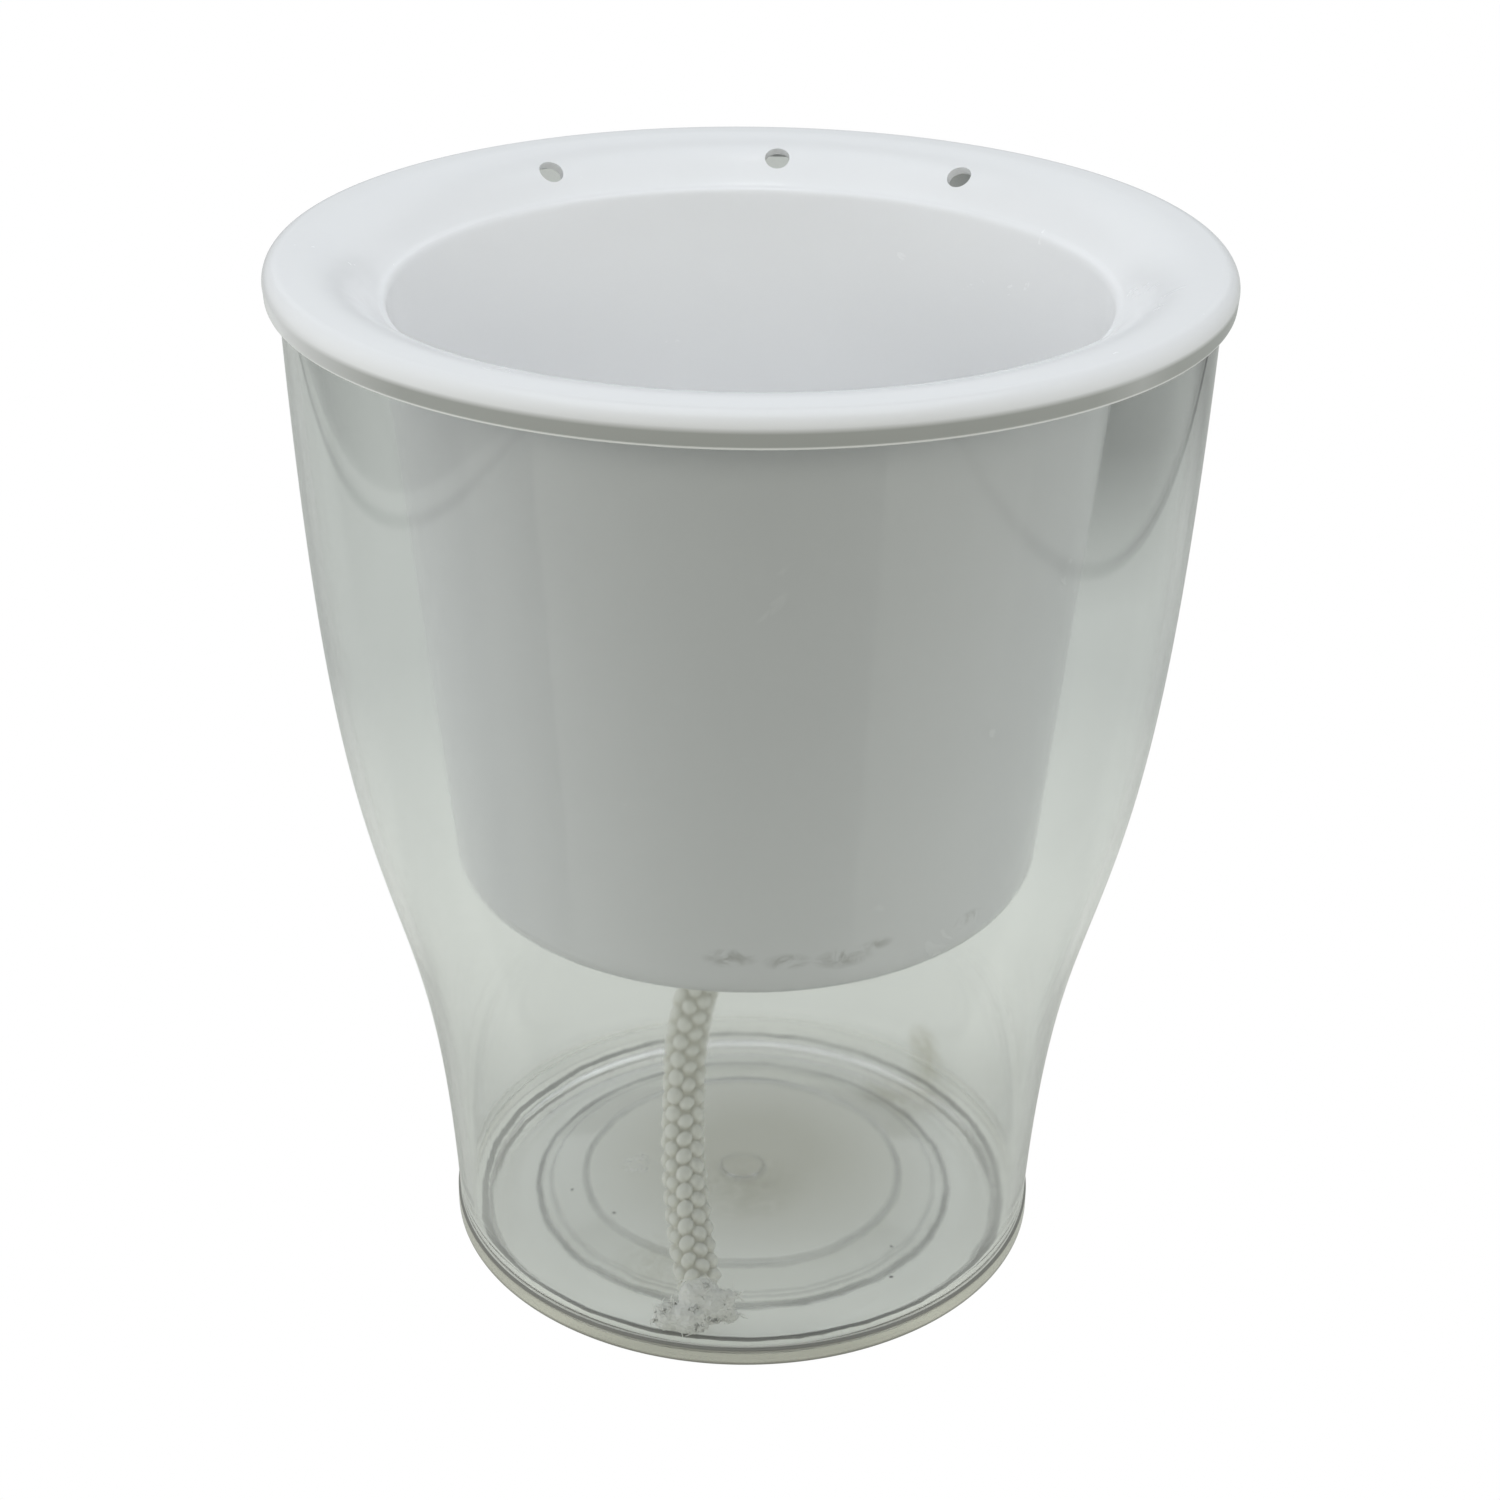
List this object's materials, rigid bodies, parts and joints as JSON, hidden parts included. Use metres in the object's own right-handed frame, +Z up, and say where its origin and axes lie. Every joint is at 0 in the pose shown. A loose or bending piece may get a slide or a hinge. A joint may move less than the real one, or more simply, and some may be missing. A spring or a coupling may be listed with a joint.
{
  "type": "self-watering planter",
  "caption": "Round wick planter: a clear tulip-shaped water reservoir, a white inner pot with a wide funnel flange and rolled bead, and a braided cotton wick between them.",
  "frame": {"origin": "centre of the foot ring, on the surface the planter stands on", "axes": "+Z up along the planter's axis; the three rim holes are at +Y, the back; +X to the right seen from the front"},
  "size_m": [0.15, 0.15, 0.1769],
  "materials": {
    "clear_plastic": "clear, glossy, slightly smoky",
    "white_plastic": "glossy flange, satin inside",
    "cotton_cord": "matte braided cotton"
  },
  "bodies": {
    "reservoir": {"reservoir": "clear_plastic"},
    "inner_pot": {"inner_pot": "white_plastic", "wick": "cotton_cord", "wick_frayed_end": "cotton_cord"}
  },
  "joints": [
    {"name": "pot_lift", "type": "slide", "parent": "reservoir", "child": "inner_pot", "axis": [0, 0, 1], "range_m": [0, 0.18]}
  ]
}
